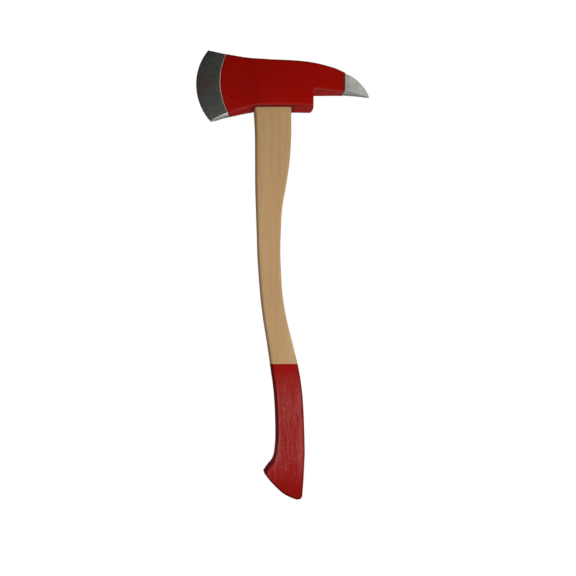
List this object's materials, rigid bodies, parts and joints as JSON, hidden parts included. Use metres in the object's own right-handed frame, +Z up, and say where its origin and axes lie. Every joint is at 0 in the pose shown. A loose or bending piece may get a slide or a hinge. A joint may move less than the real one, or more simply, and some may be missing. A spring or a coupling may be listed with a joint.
{
  "type": "fire axe",
  "caption": "Forged steel axe head with a wide ground blade and a curved pick, wedged on a curved wooden handle with a painted grip.",
  "frame": {"origin": "middle of the eye's lower mouth, on the flat underside of the head", "axes": "+Z up along the handle towards the top of the head, +X towards the pick (the blade points to -X), the cheeks face -Y and +Y"},
  "size_m": [0.3135, 0.034, 0.8111],
  "materials": {
    "head": "glossy red enamel over forged steel, with the blade's bevel and the pick's point ground bare",
    "handle": "satin oiled hickory, straight grain, the grip dip-painted red and worn along the grain",
    "wedge_wood": "dry sawn hardwood",
    "wedge_steel": "dull forged steel"
  },
  "bodies": {
    "root": {"axe_head": "head", "handle": "handle", "wood_wedge": "wedge_wood", "steel_wedge_front": "wedge_steel", "steel_wedge_rear": "wedge_steel"}
  },
  "joints": []
}
